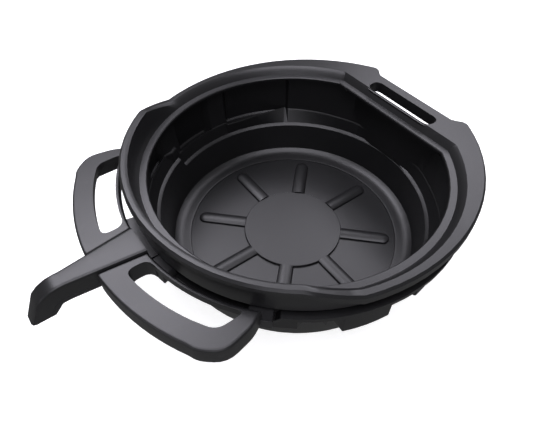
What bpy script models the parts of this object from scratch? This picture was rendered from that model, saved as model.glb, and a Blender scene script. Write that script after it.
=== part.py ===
"""Oil drain pan: a round basin with a lift-off splash ring, two hand loops and a closed pouring spout.

Frame: metres, +Z up, the origin on the basin's axis at the underside it stands on,
+X towards the spout, +Y towards the right-hand loop as seen from behind the pan.
"""
import math

import bmesh
import bpy

MM = 0.001

# ---- basin ------------------------------------------------------------------------------------
FLOOR_R = 138.6 * MM            # edge of the flat floor
FLOOR_T = 4.0 * MM              # floor thickness
SKIN = 3.5 * MM                 # basin wall thickness
STEP_W = 20.4 * MM              # width of the rounded step round the floor
STEP_Z = 12.2 * MM              # top of that step
SHOULDER_Z = 52.2 * MM          # narrow shoulder half way up the wall
SHOULDER_W = 4.0 * MM
RIDGE_Z = 70.4 * MM             # ridge along the foot of the upper wall
POCKET_FALL = 7.6 * MM          # a pocket's floor falls outwards from the ridge by this much
POCKET_OUT = 3.6 * MM           # back of the pockets, measured out from the mouth
POCKET_FOOT_W = 2.5 * MM        # least width left for a pocket's floor
SPOUT_RISE = 14.2 * MM          # shoulder and ridge sit higher on the spout side
SPOUT_RIDGE_OUT = 6.0 * MM      # and the ridge stands further out there
CORNER_OUT = 6.0 * MM           # it also stands out in the corner before the flat back
UPRIGHT_H = 15.0 * MM           # top part of the upper wall, under the flange's top, that stands upright
MOUTH_R = 184.0 * MM            # outside of the upper wall, which the rims are set out from
MOUTH_Z = 113.0 * MM            # top of the mouth flange, which the heights above it are set from
FLANGE_W = 17.0 * MM            # reach of the mouth flange
FLANGE_T = 5.4 * MM
FLANGE_BACK = 2.5 * MM          # its reach along the flat back
SHELF_DROP = 9.3 * MM           # the shelf for the loops and the spout lies this far below the flange
SHELF_W = 11.0 * MM
SHELF_T = 4.0 * MM
WALL_FLAT_INSET = 5.5 * MM      # flat back wall, measured in from the shoulder
DISC_R = 66.0 * MM              # raised disc in the middle of the floor
DISC_H = 3.0 * MM
RIB_COUNT = 8
RIB_END_R = 131.0 * MM
RIB_W = 19.0 * MM
RIB_H = 5.0 * MM

# ---- splash ring ------------------------------------------------------------------------------
LIP_REACH = 9.2 * MM            # how far the lip reaches in over the mouth
LIP_H = 15.4 * MM               # top of the lip above the flange
LIP_T = 3.8 * MM
LIP_W = 8.4 * MM
RING_SKIN = 3.2 * MM
RIM_OUT = 5.0 * MM              # rim's outer edge, measured out from the ring's wall
RIM_H = 24.7 * MM               # carrying rim at the sides and the back, above the flange
BAND_H = 44.5 * MM              # raised splash band on the spout side, above the flange
BAND_TOP_W = 9.5 * MM
RIM_EDGE_H = 12.0 * MM          # depth of the turned-down edge
BAND_EDGE_H = 8.0 * MM
FOOT_H = 5.5 * MM               # lower edge of the ring's wall above the flange
RING_FLAT_INSET = 25.3 * MM     # straight back side of the lip and the rim's inner edge
GRIP_REACH = 26.4 * MM          # how much the rim widens towards the back grip
GRIP_OUT = 0.0 * MM             # straight outer edge of the back grip, measured out from the rim's circle
GRIP_HALF = 63.0 * MM
SLOT_HALF = 54.0 * MM           # half length of the hand slot
SLOT_W = 20.8 * MM
SLOT_BAR = 15.2 * MM            # grip bar between the slot and the outer edge
SLOT_WALL = 2.6 * MM
SLOT_WALL_H = 14.6 * MM         # depth of the wall round the slot

# ---- hand loops -------------------------------------------------------------------------------
LOOP_H = 25.4 * MM              # top of a loop above the shelf
LOOP_T = 21.5 * MM
LOOP_GAP = 4.7 * MM             # see-through gap between the rim and a loop's inner bar
LOOP_INNER_W = 4.5 * MM
LOOP_HOLE_H = 9.0 * MM          # depth of the wall round the hand hole
LOOP_HOLE_W = 24.4 * MM
LOOP_BAR_W = 22.4 * MM
LOOP_ROOT_W = 8.0 * MM          # strip between the spout and the hand hole
LOOP_HOLE_END_Y = 131.0 * MM    # far end of the hand hole
LOOP_END_W = 21.5 * MM
LOOP_SKIN = 3.4 * MM
LOOP_ROUND = 4.0 * MM
HOLE_ROUND = 10.0 * MM          # corners of the hand hole

# ---- spout ------------------------------------------------------------------------------------
SPOUT_H = 26.3 * MM             # height of the arm
SPOUT_ROOT_HALF = 19.0 * MM
SPOUT_TIP_HALF = 10.0 * MM
SPOUT_BEND_X = 294.0 * MM       # inside corner of the down-turned nozzle
SPOUT_SPLIT = 7.0 * MM          # trough wall height, where the cover starts
SPOUT_SKIN = 2.4 * MM
INLET_HALF = 13.5 * MM          # half width of the inlet cut through the basin's wall
NOZZLE_DROP = 36.0 * MM
NOZZLE_LEAN = math.radians(25.0)
NOZZLE_W = 25.0 * MM
SEAL_T = 1.1 * MM

# ---- fits and fasteners -----------------------------------------------------------------------
GAP = 0.3 * MM                  # between pieces that touch
RING_GAP = 0.7 * MM             # round the pockets' blocks inside the ring, and before the spout's root
DUCT_GAP = 0.9 * MM             # over the low duct that passes under the ring
SCREW_R = 2.0 * MM
SCREW_HEAD_R = 4.0 * MM
SCREW_HEAD_H = 2.6 * MM
SCREW_DEPTH = 9.0 * MM

# ---- directions, in degrees from the spout ----------------------------------------------------
BAND_END = 53.0                 # the raised band is level up to here
RIM_START = 69.5                # the carrying rim is level from here on
WIDEN_START = 75.0
CORNER = 159.0                  # corner between the rim's arc and the grip's straight edge
SHOULDER_STEP = 62.0
POCKETS = ((40.0, 54.5), (64.5, 85.0), (93.0, 125.0))
POCKET_EDGE = 2.2               # degrees over which a pocket's side runs out
PANEL_NORMAL = 99.6             # the rearmost pocket's ridge is straight and faces this way
PANEL_IN = 4.4 * MM             # how far that straight ridge cuts in
CORNER_RIDGE = (126.0, 150.0)   # plain wall between the last pocket and the flat back
LOW_BACK = (149.4, 151.8)       # the wall's top steps down here, clear of the ring's straight wall
LUG_HALF = 3.4

PLASTIC = (0.018, 0.018, 0.020, 1.0)


# ---- small helpers ----------------------------------------------------------------------------
def clear_scene():
    for obj in list(bpy.data.objects):
        bpy.data.objects.remove(obj, do_unlink=True)


def make_material(name, color, roughness, metallic=0.0):
    material = bpy.data.materials.new(name)
    material.use_nodes = True
    shader = material.node_tree.nodes["Principled BSDF"]
    shader.inputs["Base Color"].default_value = color
    shader.inputs["Roughness"].default_value = roughness
    shader.inputs["Metallic"].default_value = metallic
    return material


def mesh_object(name, bm, material=None):
    bmesh.ops.remove_doubles(bm, verts=bm.verts, dist=1e-6)
    bmesh.ops.recalc_face_normals(bm, faces=bm.faces)
    mesh = bpy.data.meshes.new(name)
    bm.to_mesh(mesh)
    bm.free()
    obj = bpy.data.objects.new(name, mesh)
    bpy.context.collection.objects.link(obj)
    if material:
        mesh.materials.append(material)
        mesh.shade_smooth()
        mesh.set_sharp_from_angle(angle=math.radians(32))
    return obj


def combine(target, operation, *others):
    """Union or difference, left on the target as Boolean modifiers."""
    for other in others:
        other.hide_render = True
        other.display_type = "WIRE"
        modifier = target.modifiers.new(operation.lower() + "_" + other.name, "BOOLEAN")
        modifier.operation = operation
        modifier.solver = "EXACT"
        modifier.object = other


def smooth(t):
    t = min(max(t, 0.0), 1.0)
    return t * t * (3.0 - 2.0 * t)


def mix(a, b, t):
    return a + (b - a) * t


def ramp(value, start, end):
    """0 at start, 1 at end, straight in between."""
    return min(max((value - start) / (end - start), 0.0), 1.0)


def spread(stops, widest):
    """Angles round the whole pan: every stop on both sides, and no gap wider than `widest`."""
    half = sorted({0.0, 180.0, *stops})
    angles = []
    for low, high in zip(half, half[1:]):
        count = max(1, math.ceil((high - low) / widest - 1e-6))
        angles += [low + (high - low) * k / count for k in range(count)]
    return [-a for a in reversed(angles[1:])] + angles + [180.0]


def polar_body(name, angles, section, material, closed):
    """Sweep section(angle) -> [(radius, z), ...] round the axis.

    A closed section makes a ring; an open one starts at a floor and ends at an underside.
    """
    bm = bmesh.new()
    columns = []
    for angle in angles:
        a = math.radians(angle)
        columns.append([bm.verts.new((r * math.cos(a), r * math.sin(a), z)) for r, z in section(angle)])
    count = len(columns[0])
    for here, there in zip(columns, columns[1:] + columns[:1]):
        for j in range(count if closed else count - 1):
            k = (j + 1) % count
            bm.faces.new((here[j], here[k], there[k], there[j]))
    if not closed:
        bm.faces.new([column[0] for column in columns])
        bm.faces.new([column[-1] for column in reversed(columns)])
    return mesh_object(name, bm, material)


def prism(name, outline, z_low, z_high, material=None, round_top=0.0, round_steps=3):
    """Upright solid over an outline [(x, y), ...], with an optional rounded top edge."""
    bm = bmesh.new()
    base = bm.faces.new([bm.verts.new((x, y, z_low)) for x, y in outline])
    top = bmesh.ops.extrude_face_region(bm, geom=[base])["geom"]
    verts = [g for g in top if isinstance(g, bmesh.types.BMVert)]
    bmesh.ops.translate(bm, verts=verts, vec=(0, 0, z_high - z_low))
    if round_top:
        edges = [e for e in bm.edges if all(abs(v.co.z - z_high) < 1e-7 for v in e.verts)]
        bmesh.ops.bevel(bm, geom=edges, offset=round_top, segments=round_steps, profile=0.5,
                        affect="EDGES", clamp_overlap=True)
    return mesh_object(name, bm, material)


def cylinder(name, radius, z_low, z_high, x, y, sides=24):
    ring = [(x + radius * math.cos(2 * math.pi * k / sides), y + radius * math.sin(2 * math.pi * k / sides))
            for k in range(sides)]
    return prism(name, ring, z_low, z_high)


def box(name, low, high):
    outline = [(low[0], low[1]), (high[0], low[1]), (high[0], high[1]), (low[0], high[1])]
    return prism(name, outline, low[2], high[2])


def arc(radius, start, end, steps, centre=(0.0, 0.0)):
    """Points on an arc, angles in degrees."""
    points = []
    for k in range(steps + 1):
        a = math.radians(mix(start, end, k / steps))
        points.append((centre[0] + radius * math.cos(a), centre[1] + radius * math.sin(a)))
    return points


def rounded(points, radii, steps=4):
    """Round an outline's corners: each corner is cut back by its radius and bridged by a curve."""
    out = []
    count = len(points)
    for i, (point, radius) in enumerate(zip(points, radii)):
        if not radius:
            out.append(point)
            continue
        before, after = points[i - 1], points[(i + 1) % count]
        ends = []
        for other in (before, after):
            length = math.dist(point, other)
            cut = min(radius, 0.49 * length) / length
            ends.append((mix(point[0], other[0], cut), mix(point[1], other[1], cut)))
        for k in range(steps + 1):
            t = k / steps
            x = (1 - t) ** 2 * ends[0][0] + 2 * t * (1 - t) * point[0] + t * t * ends[1][0]
            y = (1 - t) ** 2 * ends[0][1] + 2 * t * (1 - t) * point[1] + t * t * ends[1][1]
            out.append((x, y))
    return out


def flatten(radius, distance, angle):
    """Cut a round radius back to a straight line across the pan's back at this distance."""
    back = -math.cos(math.radians(angle))
    return min(radius, distance / back) if back > 0.2 else radius


def flat_stops(pairs):
    """Directions where a straight back side meets its round wall."""
    return [180.0 - math.degrees(math.acos(distance / radius)) for radius, distance in pairs]


# ---- basin ------------------------------------------------------------------------------------
SHELF_Z = MOUTH_Z - SHELF_DROP
UPRIGHT_Z = MOUTH_Z - UPRIGHT_H
LIP_Z = MOUTH_Z + LIP_H
RING_FOOT_Z = MOUTH_Z + FOOT_H
SPOUT_BASE_Z = SHELF_Z + SEAL_T + 2 * GAP
DUCT_TOP_Z = RING_FOOT_Z - DUCT_GAP
POCKET_R = MOUTH_R + POCKET_OUT
STEP_R = FLOOR_R + STEP_W
WALL_TOP_R = MOUTH_R - SKIN - 0.5 * MM
SLOPE = (WALL_TOP_R - SHOULDER_W - STEP_R) / (UPRIGHT_Z - STEP_Z)
WALL_TOP_Z = LIP_Z - LIP_T - GAP         # the ring's lip stands on the wall's top edge
FLANGE_R = MOUTH_R + FLANGE_W
SHELF_R = MOUTH_R + SHELF_W


def lower_wall_r(z):
    return STEP_R + SLOPE * (z - STEP_Z)


def upper_wall_r(z):
    return lower_wall_r(z) + SHOULDER_W


WALL_FLAT_X = upper_wall_r(SHOULDER_Z) - WALL_FLAT_INSET
BLOCK_R = POCKET_R + SKIN       # outside of the pockets' blocks
SCREW_RING_R = BLOCK_R + SCREW_HEAD_R + 0.5 * MM
LUG_R = SCREW_RING_R + SCREW_HEAD_R + 2.0 * MM
LUG_IN_R = BLOCK_R + 0.5 * MM
LOOP_LUG_NEAR = math.degrees(math.asin((SPOUT_ROOT_HALF + GAP) / LUG_IN_R)) + LUG_HALF
LOOP_LUG_FAR = math.degrees(math.asin(LOOP_HOLE_END_Y / SCREW_RING_R))
SHELF_END = LOOP_LUG_FAR + LUG_HALF + 0.5


def spout_side(angle):
    """1 on the spout side of the shoulder's step, 0 elsewhere."""
    return 1.0 - ramp(abs(angle), SHOULDER_STEP - 1.0, SHOULDER_STEP + 1.0)


def pocket(angle):
    """1 inside a pocket of the upper wall, 0 on the plain wall between."""
    for low, high in POCKETS:
        if low < abs(angle) < high:
            inside = min(abs(angle) - low, high - abs(angle))
            return smooth(inside / POCKET_EDGE)
    return 0.0


def on_shelf(angle):
    return 1.0 - ramp(abs(angle), SHELF_END, SHELF_END + 1.5)


def lug(angle):
    """1 where the shelf reaches out under a screw."""
    wide = 1.0 - ramp(abs(angle), LOOP_LUG_NEAR + LUG_HALF, LOOP_LUG_NEAR + LUG_HALF + 1.2)
    far = 1.0 - ramp(abs(abs(angle) - LOOP_LUG_FAR), LUG_HALF, LUG_HALF + 1.2)
    return max(wide, far)


def ridge_r(angle):
    """Radius of the ridge at the foot of the upper wall."""
    a = abs(angle)
    plain = upper_wall_r(RIDGE_Z)
    last_low, last_high = POCKETS[-1]
    if last_low - 1.0 < a < last_high:
        chord = (plain - PANEL_IN) / math.cos(math.radians(a - PANEL_NORMAL))
        return min(chord, POCKET_R - POCKET_FOOT_W)
    if a >= last_high:
        return plain + CORNER_OUT * (1.0 - ramp(a, *CORNER_RIDGE))
    return plain + SPOUT_RIDGE_OUT * (1.0 - ramp(a, POCKETS[0][1], POCKETS[0][1] + 3.0))


def plain_foot_r(angle):
    """Foot of the upper wall where there is no pocket."""
    ridge_z = RIDGE_Z + SPOUT_RISE * spout_side(angle)
    return max(ridge_r(angle) + 0.6 * MM, upper_wall_r(ridge_z))


def upright_wall_r(angle):
    """Inside of the upright part of the wall where there is no pocket."""
    return max(plain_foot_r(angle) + 0.3 * MM, WALL_TOP_R)


def wall_top_z(angle):
    return mix(WALL_TOP_Z, MOUTH_Z + 1.2 * MM, ramp(abs(angle), *LOW_BACK))


# the step round the floor: shares of its width and of its height
STEP_SHAPE = ((0.0, 0.0), (0.03, 0.16), (0.13, 0.23), (0.41, 0.29), (0.61, 0.39), (0.76, 0.57),
              (0.90, 0.80), (1.0, 1.0))


def basin_section(angle):
    a = abs(angle)
    raised = spout_side(angle)
    deep = pocket(angle)
    shelf = on_shelf(angle)
    shoulder_z = SHOULDER_Z + SPOUT_RISE * raised
    ridge_z = RIDGE_Z + SPOUT_RISE * raised
    floor_z = ridge_z - POCKET_FALL * deep + 0.6 * MM
    mouth_z = mix(MOUTH_Z, SHELF_Z, shelf)
    edge_t = mix(FLANGE_T, SHELF_T, shelf)
    ridge = ridge_r(angle)
    plain_foot = plain_foot_r(angle)
    foot_r = mix(plain_foot, max(POCKET_R - 2.0 * MM, ridge + 0.6 * MM), deep)
    back_r = mix(plain_foot + 0.3 * MM, POCKET_R, deep)
    top_r = mix(upright_wall_r(angle), POCKET_R, deep)
    reach = mix(FLANGE_R, mix(SHELF_R, LUG_R, lug(angle)), shelf)

    def wall(radius):
        return flatten(radius, WALL_FLAT_X, a)

    def skin(radius):
        return flatten(radius + SKIN, WALL_FLAT_X + SKIN, a)

    flange_r = flatten(reach, WALL_FLAT_X + SKIN + FLANGE_BACK, a)
    inside = [(FLOOR_R + STEP_W * across, mix(FLOOR_T, STEP_Z, up)) for across, up in STEP_SHAPE]
    inside += [
        (lower_wall_r(STEP_Z + 1.8 * MM) + 0.3 * MM, STEP_Z + 1.8 * MM),
        (lower_wall_r(shoulder_z - 1.8 * MM), shoulder_z - 1.8 * MM),
        (lower_wall_r(shoulder_z) + 0.6 * MM, shoulder_z - 0.9 * MM),
        (wall(upper_wall_r(shoulder_z) - 0.3 * MM), shoulder_z + 1.0 * MM),
        (wall(ridge - 0.8 * MM), ridge_z - 1.2 * MM),
        (wall(ridge), ridge_z),
        (wall(foot_r), floor_z),
        (wall(back_r), floor_z + 2.0 * MM),
        (wall(top_r), UPRIGHT_Z),
        (wall(top_r), wall_top_z(angle)),
    ]
    outside = [
        (skin(top_r), wall_top_z(angle)),
        (skin(top_r), mouth_z),
        (flange_r, mouth_z),
        (flange_r, mouth_z - edge_t),
        (skin(top_r), mouth_z - edge_t),
        (skin(back_r), floor_z - 1.0 * MM),
        (skin(back_r) - 2.0 * MM * deep, floor_z - SKIN),
        (skin(ridge + 0.2 * MM), floor_z - SKIN - 0.4 * MM),
        (skin(upper_wall_r(shoulder_z)), shoulder_z - 3.4 * MM),
        (lower_wall_r(shoulder_z - 6.0 * MM) + SKIN, shoulder_z - 6.0 * MM),
        (STEP_R + SKIN, STEP_Z),
        (STEP_R + 0.2 * SKIN, STEP_Z - 1.6 * SKIN),
        (FLOOR_R + 0.5 * STEP_W, mix(FLOOR_T, STEP_Z, 0.29) - SKIN),
        (FLOOR_R + 0.6 * SKIN, 0.0),
    ]
    return inside + outside


def make_basin(plastic):
    pocket_stops = [a for low, high in POCKETS for a in (low, low + POCKET_EDGE, high - POCKET_EDGE, high)]
    pocket_stops += [a for low, high in POCKETS for a in (low + POCKET_EDGE / 2, high - POCKET_EDGE / 2)]
    flats = flat_stops([(upper_wall_r(SHOULDER_Z), WALL_FLAT_X), (WALL_TOP_R, WALL_FLAT_X),
                        (FLANGE_R, WALL_FLAT_X + SKIN + FLANGE_BACK)])
    lugs = [LOOP_LUG_NEAR + LUG_HALF, LOOP_LUG_NEAR + LUG_HALF + 1.2,
            LOOP_LUG_FAR - LUG_HALF - 1.2, LOOP_LUG_FAR - LUG_HALF]
    stops = pocket_stops + flats + lugs
    stops += [SHOULDER_STEP - 1.0, SHOULDER_STEP + 1.0, SHELF_END, SHELF_END + 1.5, POCKETS[0][1] + 3.0]
    stops += [POCKETS[-1][0] - 1.0, *CORNER_RIDGE, *LOW_BACK]
    basin = polar_body("basin", spread(stops, 5.0), basin_section, plastic, closed=False)

    sunk = 1.0 * MM
    disc = prism("disc_shape", arc(DISC_R, 0, 360 - 360 / 72, 71), FLOOR_T - sunk, FLOOR_T + DISC_H,
                 round_top=0.8 * MM, round_steps=1)
    ribs = bmesh.new()
    for k in range(RIB_COUNT):
        add_rib(ribs, 360.0 * k / RIB_COUNT, sunk)
    ribs = mesh_object("rib_shapes", ribs)
    combine(basin, "UNION", ribs, disc)

    holes = []
    hole_low, hole_high = SHELF_Z - SHELF_T - 5 * MM, SHELF_Z + 5 * MM
    for i, (x, y) in enumerate(screw_places()):
        holes.append(cylinder("basin_hole_%d" % i, SCREW_R + GAP, hole_low, hole_high, x, y, 16))
    inlet = box("inlet_shape", (WALL_TOP_R - 10 * MM, -INLET_HALF, SPOUT_BASE_Z + SPOUT_SKIN),
                (BLOCK_R, INLET_HALF, DUCT_TOP_Z - SPOUT_SKIN))
    combine(basin, "DIFFERENCE", inlet, *holes)
    return basin


def add_rib(bm, direction, sunk):
    """A low half-round bar from under the disc to a rounded end short of the floor's edge."""
    a = math.radians(direction)
    half, steps = RIB_W / 2, 6
    straight_end = RIB_END_R - half
    rows = [(DISC_R - 0.6 * MM, 1.0)]
    rows += [(straight_end + half * math.sin(t), math.cos(t))
             for t in [math.radians(90.0 * k / 4 * 0.96) for k in range(5)]]
    loops = []
    for along, size in rows:
        loop = []
        for k in range(steps + 1):
            t = math.pi * k / steps
            across, up = half * size * math.cos(t), RIB_H * math.sin(t) * math.sqrt(size)
            loop.append((across, FLOOR_T + up))
        loop = [(half * size, FLOOR_T - sunk)] + loop + [(-half * size, FLOOR_T - sunk)]
        verts = []
        for across, z in loop:
            x = along * math.cos(a) - across * math.sin(a)
            y = along * math.sin(a) + across * math.cos(a)
            verts.append(bm.verts.new((x, y, z)))
        loops.append(verts)
    for here, there in zip(loops, loops[1:]):
        for j in range(len(here)):
            k = (j + 1) % len(here)
            bm.faces.new((here[j], here[k], there[k], there[j]))
    bm.faces.new(loops[0])
    bm.faces.new(list(reversed(loops[-1])))


# ---- splash ring ------------------------------------------------------------------------------
RIM_Z = MOUTH_Z + RIM_H
BAND_Z = MOUTH_Z + BAND_H
LIP_R = MOUTH_R - LIP_REACH
RING_WALL_R = BLOCK_R + RING_GAP + RING_SKIN
RIM_R = RING_WALL_R + RIM_OUT
GRIP_X = RIM_R + GRIP_OUT


def rim_outline(angle):
    """Outer edge: round at the spout side, widening to a straight grip at the back."""
    a = abs(angle)
    radius = RIM_R
    if a > WIDEN_START:
        radius += GRIP_REACH * (1.0 - math.cos(math.radians(a - WIDEN_START)))
    if a > CORNER:
        straight = GRIP_X / -math.cos(math.radians(a))
        corner_end = 180.0 - math.degrees(math.atan2(GRIP_HALF, GRIP_X))
        radius = mix(radius, straight, smooth(ramp(a, CORNER, corner_end)))
    return radius


def ring_section(angle):
    a = abs(angle)
    up = 1.0 - ramp(a, BAND_END, RIM_START)
    top = mix(RIM_Z, BAND_Z, up)
    edge = top - mix(RIM_EDGE_H, BAND_EDGE_H, up)
    outer = rim_outline(angle)
    open_under = smooth(ramp(outer - RIM_R, 0.0, 5.0 * MM))
    hollow = mix(0.6 * MM, RIM_EDGE_H - RING_SKIN, open_under)
    crest = mix(RIM_R - 13.0 * MM, RIM_R - BAND_TOP_W, up)

    def flat(radius, trim=0.0):
        return flatten(radius, radius - RING_FLAT_INSET - trim, a)

    wall_out = flat(RING_WALL_R, 3.4 * MM)
    wall_in = flat(RING_WALL_R - RING_SKIN, 3.0 * MM)
    lip_out = LIP_R + LIP_W
    under = top - RING_SKIN
    crown = flat(min(crest + 4.0 * MM, outer - 6.0 * MM), 1.6 * MM)
    return [
        (flat(LIP_R), LIP_Z - LIP_T),
        (flat(LIP_R), LIP_Z - 1.0 * MM),
        (flat(LIP_R + 1.0 * MM), LIP_Z),
        (flat(lip_out), LIP_Z),
        (flat(crest), top - mix(3.2 * MM, 1.4 * MM, up)),
        (crown, top),
        (outer - 2.6 * MM, top),
        (outer, top - 2.4 * MM),
        (outer, edge + 0.8 * MM),
        (outer - 0.8 * MM, edge),
        (outer - RING_SKIN, edge),
        (outer - RING_SKIN, edge + hollow),
        (wall_out, edge + hollow),
        (wall_out, RING_FOOT_Z),
        (wall_in, RING_FOOT_Z),
        (wall_in, under),
        (flat(min(crest + 3.2 * MM, RING_WALL_R - RING_SKIN - 1.2 * MM), 2.2 * MM), under),
        (flat(lip_out + RING_SKIN), LIP_Z - 1.2 * MM),
        (flat(lip_out + 1.0 * MM), LIP_Z - LIP_T),
    ]


def slot_outline(grow):
    """The back hand slot: a long hole with round ends, or that hole grown by a wall."""
    outer_x = -(GRIP_X - SLOT_BAR) - grow
    inner_x = -(GRIP_X - SLOT_BAR - SLOT_W) + grow
    half = SLOT_HALF + grow
    corners = [(outer_x, -half), (inner_x, -half), (inner_x, half), (outer_x, half)]
    return rounded(corners, [0.48 * SLOT_W + grow] * 4, 5)


def make_splash_ring(plastic):
    corner_end = 180.0 - math.degrees(math.atan2(GRIP_HALF, GRIP_X))
    flats = flat_stops([(r, r - RING_FLAT_INSET) for r in (LIP_R, LIP_R + LIP_W)])
    flats += flat_stops([(RING_WALL_R, RING_WALL_R - RING_FLAT_INSET - 3.4 * MM)])
    stops = flats + [BAND_END, RIM_START, mix(BAND_END, RIM_START, 0.5), WIDEN_START, CORNER - 2.0, CORNER,
                     mix(CORNER, corner_end, 0.35), mix(CORNER, corner_end, 0.7), corner_end]
    ring = polar_body("splash_ring", spread(stops, 5.0), ring_section, plastic, closed=True)
    slot_z = RIM_Z - SLOT_WALL_H
    slot_wall = prism("slot_wall_shape", slot_outline(SLOT_WALL), slot_z, RIM_Z - 1.0 * MM)
    slot_hole = prism("slot_hole_shape", slot_outline(0.0), slot_z - 10 * MM, RIM_Z + 10 * MM)
    combine(ring, "UNION", slot_wall)
    combine(ring, "DIFFERENCE", slot_hole)
    return ring


# ---- hand loops -------------------------------------------------------------------------------
LOOP_TOP_Z = SHELF_Z + LOOP_H
LOOP_IN_R = RIM_R + LOOP_GAP
HOLE_IN_R = LOOP_IN_R + LOOP_INNER_W
HOLE_OUT_R = HOLE_IN_R + LOOP_HOLE_W
LOOP_OUT_R = HOLE_OUT_R + LOOP_BAR_W
LOOP_START_Y = SPOUT_ROOT_HALF + GAP
SPOUT_START_X = LOOP_IN_R - 1.5 * MM
SPOUT_TAPER_END_X = SPOUT_BEND_X - 10.0 * MM
HOLE_START_Y = LOOP_START_Y + LOOP_ROOT_W
LUG_BOTTOM_Z = SHELF_Z + GAP
LUG_TOP_Z = RING_FOOT_Z - 2.0 * MM


def spout_half(x):
    """Half width of the spout's arm, which tapers outwards."""
    return mix(SPOUT_ROOT_HALF, SPOUT_TIP_HALF, ramp(x, SPOUT_START_X, SPOUT_TAPER_END_X))


def beside_spout(radius):
    """A loop's side next to the arm follows the arm's taper."""
    out = (radius - LOOP_IN_R) / (LOOP_OUT_R - LOOP_IN_R)
    return mix(LOOP_START_Y, spout_half(LOOP_OUT_R) + GAP, out)


def angle_at(radius, y):
    return math.degrees(math.asin(y / radius))


def side_between(radius, start_y, end_y, room, steps=8):
    """A curved side between two corners, with straight room beside each for its rounding."""
    step = math.copysign(room, end_y - start_y)
    middle = arc(radius, angle_at(radius, start_y + step), angle_at(radius, end_y - step), steps)
    corners = [(math.sqrt(radius * radius - y * y), y) for y in (start_y, end_y)]
    return [corners[0]] + middle + [corners[1]]


def loop_outline():
    """Plan outline of the right-hand loop, going round it counter-clockwise."""
    end_y = LOOP_HOLE_END_Y + LOOP_END_W
    spout_line = angle_at(LOOP_OUT_R, beside_spout(LOOP_OUT_R))
    bend = angle_at(LOOP_OUT_R, LOOP_HOLE_END_Y + 0.25 * LOOP_END_W)
    outer = arc(LOOP_OUT_R, spout_line, bend, 12)
    far_in = angle_at(LOOP_IN_R, LOOP_HOLE_END_Y + 0.36 * LOOP_END_W)
    shoulder = (LOOP_OUT_R * math.cos(math.radians(bend)) - 19.0 * MM, end_y + 1.0 * MM)
    inner = arc(LOOP_IN_R, far_in, angle_at(LOOP_IN_R, LOOP_START_Y), 10)
    knee = (inner[0][0] + 15.0 * MM, inner[0][1] + 8.5 * MM)
    corner = (LOOP_OUT_R * math.cos(math.radians(bend)) + 1.0 * MM,
              LOOP_OUT_R * math.sin(math.radians(bend)) + 1.0 * MM)
    points = outer[:-1] + [corner, shoulder, knee] + inner
    radii = [5.0 * MM] + [0.0] * (len(outer) - 2) + [9.0 * MM, 13.0 * MM, 8.0 * MM] + [0.0] * len(inner)
    return rounded(points, radii, 4)


def hole_outline():
    near, far = HOLE_START_Y, LOOP_HOLE_END_Y
    outer = side_between(HOLE_OUT_R, near, far, 2.1 * HOLE_ROUND)
    inner = side_between(HOLE_IN_R, far, near, 2.1 * HOLE_ROUND)
    radii_outer = [HOLE_ROUND] + [0.0] * (len(outer) - 2) + [HOLE_ROUND]
    radii_inner = [0.75 * HOLE_ROUND] + [0.0] * (len(inner) - 2) + [HOLE_ROUND]
    return rounded(outer + inner, radii_outer + radii_inner, 6)


def bar_hollow_outline():
    """Open underside of the grip bar, a skin inside its outline."""
    far = LOOP_HOLE_END_Y + 0.1 * LOOP_END_W
    r_in, r_out = HOLE_OUT_R + LOOP_SKIN, LOOP_OUT_R - LOOP_SKIN
    near_in, near_out = beside_spout(r_in) + LOOP_SKIN, beside_spout(r_out) + LOOP_SKIN
    outer = arc(r_out, angle_at(r_out, near_out), angle_at(r_out, far) - 2.0, 10)
    inner = arc(r_in, angle_at(r_in, far), angle_at(r_in, near_in), 10)
    return outer + inner


def mirror_y(outline, side):
    return outline if side > 0 else [(x, -y) for x, y in reversed(outline)]


def lug_outline(direction, from_r, to_r):
    return (arc(to_r, direction - LUG_HALF, direction + LUG_HALF, 3)
            + arc(from_r, direction + LUG_HALF, direction - LUG_HALF, 3))


def relief_outline():
    """Everything round the hand hole is shallow except the root beside the spout."""
    near, far = HOLE_START_Y + 9.0 * MM, LOOP_HOLE_END_Y + LOOP_SKIN
    r_in, r_out = LOOP_IN_R - 3.0 * MM, HOLE_OUT_R + LOOP_SKIN + 0.5 * MM
    return (arc(r_out, angle_at(r_out, near), angle_at(r_out, far), 10)
            + arc(r_in, angle_at(r_in, far), angle_at(r_in, near), 10))


def make_loop(name, side, plastic):
    bottom_z = LOOP_TOP_Z - LOOP_T
    below = bottom_z - 5 * MM
    loop = prism(name, mirror_y(loop_outline(), side), bottom_z, LOOP_TOP_Z, plastic, LOOP_ROUND)
    hole = prism(name + "_hole_shape", mirror_y(hole_outline(), side), below, LOOP_TOP_Z + 5 * MM)
    roof_z = LOOP_TOP_Z - LOOP_SKIN
    hollow = prism(name + "_hollow_shape", mirror_y(bar_hollow_outline(), side), below, roof_z)
    relief = prism(name + "_relief_shape", mirror_y(relief_outline(), side), below, LOOP_TOP_Z - LOOP_HOLE_H)
    combine(loop, "DIFFERENCE", hole, hollow, relief)
    for label, direction in (("near", LOOP_LUG_NEAR), ("far", LOOP_LUG_FAR)):
        outline = mirror_y(lug_outline(direction, LUG_IN_R, LOOP_IN_R + 3.0 * MM), side)
        foot = prism("%s_%s_lug_shape" % (name, label), outline, LUG_BOTTOM_Z, LUG_TOP_Z)
        combine(loop, "UNION", foot)
    hole_low, hole_high = LUG_BOTTOM_Z - 5 * MM, SHELF_Z + SCREW_DEPTH + GAP
    for i, (x, y) in enumerate(loop_screw_places(side)):
        screw_hole = cylinder("%s_screw_hole_%d" % (name, i), SCREW_R + GAP, hole_low, hole_high, x, y, 16)
        combine(loop, "DIFFERENCE", screw_hole)
    return loop


# ---- spout ------------------------------------------------------------------------------------
SPOUT_TOP_Z = SPOUT_BASE_Z + SPOUT_H
DUCT_START_X = upright_wall_r(0.0) + SKIN + RING_GAP


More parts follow.
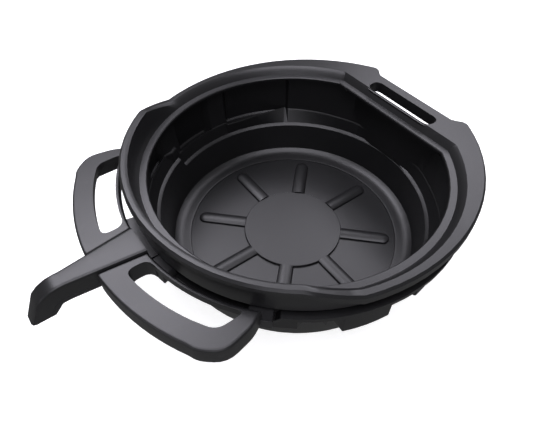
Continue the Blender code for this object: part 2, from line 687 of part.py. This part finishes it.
def spout_path():
    """Stations from the arm's root to the nozzle's mouth: bottom point, top point and half width."""
    top_corner_x = SPOUT_BEND_X + NOZZLE_W / math.cos(NOZZLE_LEAN) * 0.62
    drop_low = SPOUT_TOP_Z - NOZZLE_DROP
    low_x = SPOUT_BEND_X + (SPOUT_BASE_Z - drop_low) * math.tan(NOZZLE_LEAN) + 3.0 * MM
    stations = [((SPOUT_START_X, SPOUT_BASE_Z), (SPOUT_START_X, SPOUT_TOP_Z), SPOUT_ROOT_HALF)]
    for x in (mix(SPOUT_START_X, SPOUT_TAPER_END_X, 0.5), SPOUT_TAPER_END_X):
        stations.append(((x, SPOUT_BASE_Z), (x, SPOUT_TOP_Z), spout_half(x)))
    bend = [(0.0, 0.0), (0.35, 0.10), (0.70, 0.45), (1.0, 1.0)]
    for across, down in bend:
        x = mix(SPOUT_BEND_X - 4 * MM, top_corner_x + 3 * MM, across)
        z = SPOUT_TOP_Z - 11.0 * MM * down
        inner_x = SPOUT_BEND_X + mix(-3.0, 2.0, across) * MM
        inner_z = SPOUT_BASE_Z - 4.0 * MM * across * across
        stations.append(((inner_x, inner_z), (x, z), SPOUT_TIP_HALF))
    mouth_top_x = low_x + NOZZLE_W
    stations.append(((low_x, drop_low), (mouth_top_x, drop_low), SPOUT_TIP_HALF - 0.5 * MM))
    return stations


def add_channel(bm, stations, section):
    """Loft a closed section through the stations. The section gives (y, height) pairs."""
    loops = []
    for low, high, half in stations:
        length = math.dist(low, high)
        verts = []
        for y, up in section(half, length):
            t = up / length
            verts.append(bm.verts.new((mix(low[0], high[0], t), y, mix(low[1], high[1], t))))
        loops.append(verts)
    for here, there in zip(loops, loops[1:]):
        for j in range(len(here)):
            k = (j + 1) % len(here)
            bm.faces.new((here[j], here[k], there[k], there[j]))
    bm.faces.new(loops[0])
    bm.faces.new(list(reversed(loops[-1])))


def trough_section(half, length):
    t, top, edge = SPOUT_SKIN, SPOUT_SPLIT, 1.6 * MM
    right = [(half - edge, 0.0), (half, edge), (half, top), (half - t, top), (half - t, t)]
    return right + [(-y, z) for y, z in reversed(right)]


def cover_section(half, length):
    t, low, tongue = SPOUT_SKIN, SPOUT_SPLIT + GAP, 2.4 * MM
    edge = min(4.0 * MM, 0.3 * length)
    inner = half - t - GAP
    tip = inner - 1.2 * MM
    outside = [(half, low), (half, length - edge)]
    outside += [(half - 0.3 * edge, length - 0.3 * edge), (half - edge, length)]
    inside = [(inner, low), (inner, low - tongue), (tip, low - tongue), (tip, length - t)]
    right = list(reversed(inside)) + outside
    return right + [(-y, z) for y, z in reversed(right)]


def make_spout_trough(plastic):
    half = SPOUT_ROOT_HALF
    root = [((DUCT_START_X, SPOUT_BASE_Z), (DUCT_START_X, SPOUT_TOP_Z), half)]
    bm = bmesh.new()
    add_channel(bm, root + spout_path(), trough_section)
    trough = mesh_object("spout_trough", bm, plastic)
    for i, (x, y) in enumerate(spout_screw_places()):
        post = cylinder("spout_post_%d" % i, SCREW_R + 1.8 * MM, SPOUT_BASE_Z + 0.6 * MM,
                        SPOUT_BASE_Z + SPOUT_SPLIT, x, y, 16)
        combine(trough, "UNION", post)
    hole_low, hole_high = SPOUT_BASE_Z - 5 * MM, SPOUT_BASE_Z + SPOUT_SPLIT - 1.0 * MM
    for i, (x, y) in enumerate(spout_screw_places()):
        screw_hole = cylinder("spout_screw_hole_%d" % i, SCREW_R + GAP, hole_low, hole_high, x, y, 16)
        combine(trough, "DIFFERENCE", screw_hole)
    return trough


def make_spout_cover(plastic):
    """The visible arm's upper shell, with a low roof over the duct that passes under the ring."""
    bm = bmesh.new()
    add_channel(bm, spout_path(), cover_section)
    cover = mesh_object("spout_cover", bm, plastic)
    half = SPOUT_ROOT_HALF
    low_z = SPOUT_BASE_Z + SPOUT_SPLIT + GAP
    roof = box("duct_roof_shape", (DUCT_START_X, -half, DUCT_TOP_Z - SPOUT_SKIN),
               (SPOUT_START_X + 1.5 * MM, half, DUCT_TOP_Z))
    combine(cover, "UNION", roof)
    for side in (-1, 1):
        y_out, y_in = side * half, side * (half - SPOUT_SKIN)
        cheek = box("duct_cheek_shape_%d" % side, (DUCT_START_X, min(y_out, y_in), low_z),
                    (SPOUT_START_X + 1.5 * MM, max(y_out, y_in), DUCT_TOP_Z - 0.5 * MM))
        combine(cover, "UNION", cheek)
    return cover


def make_spout_seal(rubber):
    half = SPOUT_ROOT_HALF - 0.5 * MM
    low_z = SHELF_Z + GAP
    seal = box("spout_seal", (DUCT_START_X + 0.5 * MM, -half, low_z),
               (LUG_R - 0.8 * MM, half, low_z + SEAL_T))
    seal.data.materials.append(rubber)
    for i, (x, y) in enumerate(spout_screw_places()):
        screw_hole = cylinder("seal_hole_%d" % i, SCREW_R + GAP, low_z - 5 * MM, low_z + 5 * MM, x, y, 16)
        combine(seal, "DIFFERENCE", screw_hole)
    return seal


# ---- screws -----------------------------------------------------------------------------------
def loop_screw_places(side):
    return [(SCREW_RING_R * math.cos(math.radians(a)), side * SCREW_RING_R * math.sin(math.radians(a)))
            for a in (LOOP_LUG_NEAR, LOOP_LUG_FAR)]


def spout_screw_places():
    y = SPOUT_ROOT_HALF - SPOUT_SKIN - SCREW_R - 1.8 * MM + 1.0 * MM
    return [(SCREW_RING_R, -y), (SCREW_RING_R, y)]


def screw_places():
    return loop_screw_places(1) + loop_screw_places(-1) + spout_screw_places()


def make_screw(name, x, y, top_z, steel):
    """Pan-head screw driven up through the shelf from below."""
    head_top = SHELF_Z - SHELF_T - GAP
    sides = 16
    levels = [(SCREW_HEAD_R * 0.55, head_top - SCREW_HEAD_H),
              (SCREW_HEAD_R, head_top - 0.55 * SCREW_HEAD_H),
              (SCREW_HEAD_R, head_top), (SCREW_R, head_top),
              (SCREW_R, top_z - 1.0 * MM), (0.5 * SCREW_R, top_z)]
    bm = bmesh.new()
    loops = []
    turns = [2 * math.pi * k / sides for k in range(sides)]
    for radius, z in levels:
        loops.append([bm.verts.new((x + radius * math.cos(t), y + radius * math.sin(t), z)) for t in turns])
    for here, there in zip(loops, loops[1:]):
        for k in range(sides):
            n = (k + 1) % sides
            bm.faces.new((here[k], here[n], there[n], there[k]))
    bm.faces.new(list(reversed(loops[0])))
    bm.faces.new(loops[-1])
    return mesh_object(name, bm, steel)


# ---- assembly ---------------------------------------------------------------------------------
clear_scene()
basin_plastic = make_material("basin_plastic", PLASTIC, 0.42)
ring_plastic = make_material("ring_plastic", PLASTIC, 0.40)
loop_plastic = make_material("loop_plastic", PLASTIC, 0.45)
spout_plastic = make_material("spout_plastic", PLASTIC, 0.45)
seal_rubber = make_material("seal_rubber", (0.02, 0.02, 0.02, 1.0), 0.8)
screw_steel = make_material("screw_steel", (0.55, 0.56, 0.58, 1.0), 0.35, 1.0)

make_basin(basin_plastic)
make_splash_ring(ring_plastic)
make_loop("right_hand_loop", 1, loop_plastic)
make_loop("left_hand_loop", -1, loop_plastic)
make_spout_trough(spout_plastic)
make_spout_cover(spout_plastic)
make_spout_seal(seal_rubber)
for side, label in ((1, "right"), (-1, "left")):
    for where, (x, y) in zip(("near", "far"), loop_screw_places(side)):
        make_screw("%s_loop_%s_screw" % (label, where), x, y, SHELF_Z + SCREW_DEPTH, screw_steel)
for label, (x, y) in zip(("left", "right"), spout_screw_places()):
    make_screw("spout_%s_screw" % label, x, y, SPOUT_BASE_Z + SPOUT_SPLIT - 1.4 * MM, screw_steel)
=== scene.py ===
"""Oil drain pan: a satin black moulded basin with its splash ring, hand loops and pouring spout."""
import math

import bpy
from mathutils import Matrix, Vector


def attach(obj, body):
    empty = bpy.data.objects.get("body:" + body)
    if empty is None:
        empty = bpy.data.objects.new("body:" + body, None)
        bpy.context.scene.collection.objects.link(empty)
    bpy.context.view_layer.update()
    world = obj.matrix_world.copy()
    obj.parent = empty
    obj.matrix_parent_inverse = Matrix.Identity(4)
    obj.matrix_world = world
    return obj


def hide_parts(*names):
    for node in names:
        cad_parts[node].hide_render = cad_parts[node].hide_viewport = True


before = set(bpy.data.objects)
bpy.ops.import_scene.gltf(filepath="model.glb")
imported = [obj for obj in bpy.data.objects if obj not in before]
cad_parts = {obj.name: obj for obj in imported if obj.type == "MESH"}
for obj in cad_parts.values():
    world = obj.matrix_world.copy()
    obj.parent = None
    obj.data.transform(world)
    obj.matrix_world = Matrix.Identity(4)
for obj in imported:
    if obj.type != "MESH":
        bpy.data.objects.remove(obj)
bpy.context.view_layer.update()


# ---- Studio -------------------------------------------------------------------------------------
# A pale floor in dim surroundings, lit by six soft panels: three behind the pan for the sheen on
# its upper faces, one overhead for its ledges, and weaker ones past the spout's end and in front.
# The camera looks down from the front, over the right hand loop.

FLOOR_SIZE = 60.0
FLOOR_COLOUR = (0.65, 0.65, 0.65, 1)
FLOOR_GLOW = 0.80
WORLD_GLOW = 0.16
WHITE = (1, 1, 1, 1)
PANEL_TINT = (1.0, 0.98, 1.08)
PAN_MIDDLE = (0, 0, 0.1)
FRONT_WALL = (0.15, 0, 0.1)
SPOUT_ROOT = (0.2, 0, 0.1)
SENSOR_WIDTH = 36.0
LENS = 31.83
CLIP_NEAR, CLIP_FAR = 0.01, 50.0
CAMERA_PLACE = Vector((0.2733, 0.3152, 0.5030))
CAMERA_VIEW = Vector((-0.3884, -0.5346, -0.7505)).normalized()
CAMERA_RIGHT = Vector((-0.809, 0.588, 0.0)).normalized()


class Value:
    """A shader socket that takes part in plain arithmetic."""

    def __init__(self, paint, socket):
        self.paint, self.socket = paint, socket

    def _math(self, operation, first, second):
        made = self.paint.node("ShaderNodeMath", {"operation": operation}, {0: first, 1: second})
        return made["Value"]

    def __add__(self, other):
        return self._math("ADD", self, other)

    def __radd__(self, other):
        return self._math("ADD", other, self)

    def __sub__(self, other):
        return self._math("SUBTRACT", self, other)

    def __rsub__(self, other):
        return self._math("SUBTRACT", other, self)

    def __mul__(self, other):
        return self._math("MULTIPLY", self, other)

    def __rmul__(self, other):
        return self._math("MULTIPLY", other, self)

    def between(self, low, high):
        """0 at low, 1 at high, clamped."""
        made = self.paint.node("ShaderNodeMapRange", {"clamp": True},
                               {"Value": self, "From Min": low, "From Max": high,
                                "To Min": 0.0, "To Max": 1.0})
        return made["Result"]


class Paint:
    """One material's nodes, ending in a Principled shader."""

    def __init__(self, name):
        self.material = bpy.data.materials.new(name)
        self.material.use_nodes = True
        self.tree = self.material.node_tree
        self.shader = self.tree.nodes["Principled BSDF"]

    def node(self, kind, settings, inputs):
        """A node with its settings and its sockets' values or links, as a dict of its outputs."""
        made = self.tree.nodes.new(kind)
        for key, setting in settings.items():
            setattr(made, key, setting)
        for key, value in inputs.items():
            self.feed(made.inputs[key], value)
        return {out.name: Value(self, out) for out in made.outputs if out.enabled}

    def feed(self, socket, value):
        if isinstance(value, Value):
            self.tree.links.new(value.socket, socket)
        else:
            socket.default_value = value

    def noise(self, place, scale, detail, **more):
        """The strength of a three-dimensional noise at each point."""
        inputs = {"Vector": place, "Scale": scale, "Detail": detail, **more}
        return self.node("ShaderNodeTexNoise", {}, inputs)["Fac"]

    def object_place(self):
        return self.node("ShaderNodeTexCoord", {}, {})["Object"]

    def bump(self, height, depth, strength):
        inputs = {"Height": height, "Distance": depth, "Strength": strength}
        return self.node("ShaderNodeBump", {}, inputs)["Normal"]

    def finish(self, **inputs):
        """The material, once the shader's sockets are set. An underscore stands for a space."""
        for key, value in inputs.items():
            self.feed(self.shader.inputs[key.replace("_", " ")], value)
        return self.material


def deselect():
    if bpy.context.object and bpy.context.object.mode != "OBJECT":
        bpy.ops.object.mode_set(mode="OBJECT")
    bpy.ops.object.select_all(action="DESELECT")


def soft_panel(name, place, size, radiance, aim=PAN_MIDDLE):
    """A rectangular light whose brightness doesn't depend on its size."""
    light = bpy.data.lights.new(name, "AREA")
    light.shape = "RECTANGLE"
    light.size, light.size_y = size
    light.energy = radiance * math.pi * size[0] * size[1]
    light.color = PANEL_TINT
    lamp = bpy.data.objects.new(name, light)
    bpy.context.collection.objects.link(lamp)
    direction = Vector(aim) - Vector(place)
    lamp.rotation_euler = direction.to_track_quat("-Z", "Y").to_euler()
    lamp.location = place


deselect()
bpy.ops.mesh.primitive_plane_add(size=FLOOR_SIZE, location=(0, 0, 0))
floor = bpy.context.object
floor.name = "studio_floor"
floor_paint = Paint("studio_floor")
floor.data.materials.append(floor_paint.finish(
    Base_Color=FLOOR_COLOUR, Roughness=0.9, Specular_IOR_Level=0.1,
    Emission_Color=WHITE, Emission_Strength=FLOOR_GLOW))
floor.visible_glossy = False

world = bpy.data.worlds.new("studio_world")
world.use_nodes = True
surroundings = world.node_tree.nodes["Background"].inputs
surroundings["Color"].default_value = WHITE
surroundings["Strength"].default_value = WORLD_GLOW
bpy.context.scene.world = world
bpy.context.scene.view_settings.view_transform = "Standard"

soft_panel("panel_behind", place=(-0.60, -0.70, 1.50), size=(1.4, 0.8), radiance=2.3)
soft_panel("panel_behind_spout", place=(0.20, -0.90, 1.48), size=(0.8, 0.9), radiance=6.8,
           aim=FRONT_WALL)
soft_panel("panel_low_behind", place=(-1.21, -0.49, 1.19), size=(1.0, 0.7), radiance=3.3)
soft_panel("panel_overhead", place=(0.32, 0.42, 1.75), size=(1.3, 0.9), radiance=4.6)
soft_panel("panel_spout_side", place=(1.60, 0.15, 0.60), size=(0.9, 0.6), radiance=0.8,
           aim=SPOUT_ROOT)
soft_panel("panel_front", place=(0.98, 1.36, 1.10), size=(1.3, 0.6), radiance=2.0)

camera = bpy.data.cameras.new("camera")
camera.sensor_width = SENSOR_WIDTH
camera.lens = LENS
camera.clip_start, camera.clip_end = CLIP_NEAR, CLIP_FAR
camera_object = bpy.data.objects.new("camera", camera)
bpy.context.collection.objects.link(camera_object)
camera_up = CAMERA_RIGHT.cross(CAMERA_VIEW).normalized()
turn = Matrix((CAMERA_RIGHT, camera_up, -CAMERA_VIEW)).transposed().to_4x4()
turn.translation = CAMERA_PLACE
camera_object.matrix_world = turn
bpy.context.scene.camera = camera_object


# ---- Basin --------------------------------------------------------------------------------------
# The basin is one injection-moulded shell of black polypropylene, its edges softened by the mould.
# Its faces carry a fine spark-eroded grain, a little glossier where hands and tools have rubbed it.

MM = 0.001
BASIN_EDGE = 1.2 * MM
SAME_POINT = 0.001 * MM
SAME_PLANE = math.radians(0.4)
CORNER_ANGLE = math.radians(25.0)      # a bend from here up is rounded over
SMOOTH_ANGLE = math.radians(32.0)      # a bend up to here is shaded as a curve
ROUNDING_STEPS = 3


def moulded(node, name, body, paint, edge):
    """The moulding with its corners rounded over, standing for the frame's plain solid."""
    deselect()
    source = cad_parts[node]
    piece = bpy.data.objects.new(name, source.data.copy())
    bpy.context.collection.objects.link(piece)
    piece.data.materials.clear()
    piece.data.materials.append(paint)
    bpy.context.view_layer.objects.active = piece
    piece.select_set(True)
    bpy.ops.object.mode_set(mode="EDIT")
    bpy.ops.mesh.select_all(action="SELECT")
    bpy.ops.mesh.remove_doubles(threshold=SAME_POINT)
    bpy.ops.mesh.dissolve_limited(angle_limit=SAME_PLANE, use_dissolve_boundaries=False)
    bpy.ops.mesh.customdata_custom_splitnormals_clear()
    bpy.ops.object.mode_set(mode="OBJECT")
    bevel = piece.modifiers.new("rounding", "BEVEL")
    bevel.width = edge
    bevel.segments = ROUNDING_STEPS
    bevel.limit_method = "ANGLE"
    bevel.angle_limit = CORNER_ANGLE
    bevel.use_clamp_overlap = True
    bevel.miter_outer = "MITER_ARC"
    bpy.ops.object.modifier_apply(modifier=bevel.name)
    bpy.ops.object.shade_smooth_by_angle(angle=SMOOTH_ANGLE)
    even = piece.modifiers.new("even_shading", "WEIGHTED_NORMAL")
    even.keep_sharp = True
    bpy.ops.object.modifier_apply(modifier=even.name)
    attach(piece, body)
    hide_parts(node)
    return piece


GRAIN_SCALE = 1400.0
PEBBLE_SCALE = 420.0
GRAIN_SHARE = 0.55                     # of the bump, and the pebbles make the rest
GRAIN_DEPTH = 0.12 * MM
GRAIN_STRENGTH = 0.35
GRAIN_ROUGHNESS = 0.08
CLOUD_SCALE = 9.0
CLOUD_CONTRAST = 0.36
CLOUD_ROUGHNESS = 0.10
SMEAR_SCALE = 34.0
RUBBED_FROM, RUBBED_FULL = 0.60, 0.78  # of the smear noise
RUBBED_PALER = 0.9
RUBBED_GLOSS = 0.06
BLUE_TINT = 1.06
PLASTIC_IOR = 1.49
MIDDLE = 0.5                           # of any noise


def satin_plastic(name, tone, roughness, rubbed):
    """Black polypropylene: fine grain, faint flow clouds, and paler rubbed patches."""
    paint = Paint(name)
    place = paint.object_place()
    grain = paint.noise(place, GRAIN_SCALE, detail=2.0, Roughness=0.55)
    pebble = paint.noise(place, PEBBLE_SCALE, detail=3.0)
    cloud = paint.noise(place, CLOUD_SCALE, detail=3.0)
    smear = paint.noise(place, SMEAR_SCALE, detail=5.0, Roughness=0.7, Distortion=0.6)
    worn = smear.between(RUBBED_FROM, RUBBED_FULL) * rubbed
    clouded = 1 + (cloud - MIDDLE) * CLOUD_CONTRAST
    shade = tone * clouded + worn * (tone * RUBBED_PALER)
    colour = paint.node("ShaderNodeCombineColor", {},
                        {"Red": shade, "Green": shade, "Blue": shade * BLUE_TINT})["Color"]
    height = grain * GRAIN_SHARE + pebble * (1 - GRAIN_SHARE)
    uneven = (cloud - MIDDLE) * CLOUD_ROUGHNESS + (grain - MIDDLE) * GRAIN_ROUGHNESS
    return paint.finish(Base_Color=colour, Roughness=roughness + uneven - worn * RUBBED_GLOSS,
                        Normal=paint.bump(height, GRAIN_DEPTH, GRAIN_STRENGTH), IOR=PLASTIC_IOR)


basin_paint = satin_plastic("basin_plastic", tone=0.008, roughness=0.38, rubbed=0.5)
moulded("basin", "basin_shell", "pan", basin_paint, BASIN_EDGE)


# ---- Splash ring --------------------------------------------------------------------------------
# A second moulding of the same black plastic. Its lip stands on the basin wall's top edge, and it
# has a carrying rim, a grip slot at the back and a raised band over the spout.

RING_EDGE = 1.9 * MM
ring_paint = satin_plastic("ring_plastic", tone=0.010, roughness=0.34, rubbed=0.7)
moulded("splash_ring", "splash_ring_shell", "ring", ring_paint, RING_EDGE)


# ---- Hand loops ---------------------------------------------------------------------------------
# Two mirrored D-shaped loops of black polypropylene, moulded with an open underside. There is one
# on each side of the spout, screwed to the basin's shelf at both of its ends.

LOOP_EDGE = 1.7 * MM
loop_paint = satin_plastic("loop_plastic", tone=0.011, roughness=0.36, rubbed=0.8)
for side in ("right", "left"):
    loop = side + "_hand_loop"
    moulded(loop, loop + "_shell", "pan", loop_paint, LOOP_EDGE)


# ---- Spout --------------------------------------------------------------------------------------
# A U-shaped trough of black polypropylene and a snap-on cover of the same make the closed arm,
# which ends in a down-turned nozzle. A nitrile strip seals its root to the basin's shelf.

COVER_EDGE = 2.2 * MM
TROUGH_EDGE = 0.5 * MM
SEAL_EDGE = 0.2 * MM
RUBBER_COLOUR = (0.012, 0.012, 0.012, 1)
RUBBER_ROUGHNESS = 0.7
PORE_SCALE = 600.0
PORE_DEPTH = 0.1 * MM
PORE_STRENGTH = 0.4
PORE_ROUGHNESS = 0.15
spout_paint = satin_plastic("spout_plastic", tone=0.011, roughness=0.37, rubbed=0.8)
moulded("spout_cover", "spout_cover_shell", "pan", spout_paint, COVER_EDGE)
moulded("spout_trough", "spout_trough_shell", "pan", spout_paint, TROUGH_EDGE)

rubber = Paint("seal_rubber")
pores = rubber.noise(rubber.object_place(), PORE_SCALE, detail=3.0)
seal_paint = rubber.finish(Base_Color=RUBBER_COLOUR,
                           Roughness=RUBBER_ROUGHNESS + pores * PORE_ROUGHNESS,
                           Normal=rubber.bump(pores, PORE_DEPTH, PORE_STRENGTH))
moulded("spout_seal", "spout_seal_strip", "pan", seal_paint, SEAL_EDGE)


# ---- Screws -------------------------------------------------------------------------------------
# Zinc-plated steel pan-head screws, cold-headed with a cross recess. Two hold each loop and two the
# spout's root, and their heads look down.

SCREW_NODES = ("right_loop_near_screw", "right_loop_far_screw", "left_loop_near_screw",
               "left_loop_far_screw", "spout_left_screw", "spout_right_screw")
SCREW_EDGE = 0.25 * MM
RECESS_L = 4.4 * MM
RECESS_W = 0.9 * MM
RECESS_DEPTH = 1.3 * MM
ZINC_COLOUR = (0.52, 0.53, 0.55, 1)
ZINC_ROUGHNESS = 0.28
SPANGLE_SCALE = 900.0
SPANGLE_ROUGHNESS = 0.22
zinc = Paint("screw_steel")
spangle = zinc.noise(zinc.object_place(), SPANGLE_SCALE, detail=4.0)
zinc_paint = zinc.finish(Base_Color=ZINC_COLOUR, Metallic=1.0,
                         Roughness=ZINC_ROUGHNESS + spangle * SPANGLE_ROUGHNESS)


def cut_recess(screw):
    """Two crossed slots in the head, whose face looks down."""
    corners = [screw.matrix_world @ Vector(corner) for corner in screw.bound_box]
    centre = sum(corners, Vector()) / len(corners)
    face_z = min(corner.z for corner in corners)
    for length_x, length_y in ((RECESS_L, RECESS_W), (RECESS_W, RECESS_L)):
        deselect()
        bpy.ops.mesh.primitive_cube_add(size=1.0, location=(centre.x, centre.y, face_z))
        cutter = bpy.context.object
        cutter.scale = (length_x, length_y, 2 * RECESS_DEPTH)
        cut = screw.modifiers.new("recess", "BOOLEAN")
        cut.operation, cut.solver, cut.object = "DIFFERENCE", "EXACT", cutter
        bpy.context.view_layer.objects.active = screw
        bpy.ops.object.modifier_apply(modifier=cut.name)
        bpy.data.objects.remove(cutter, do_unlink=True)


for node in SCREW_NODES:
    cut_recess(moulded(node, node + "_turned", "pan", zinc_paint, SCREW_EDGE))
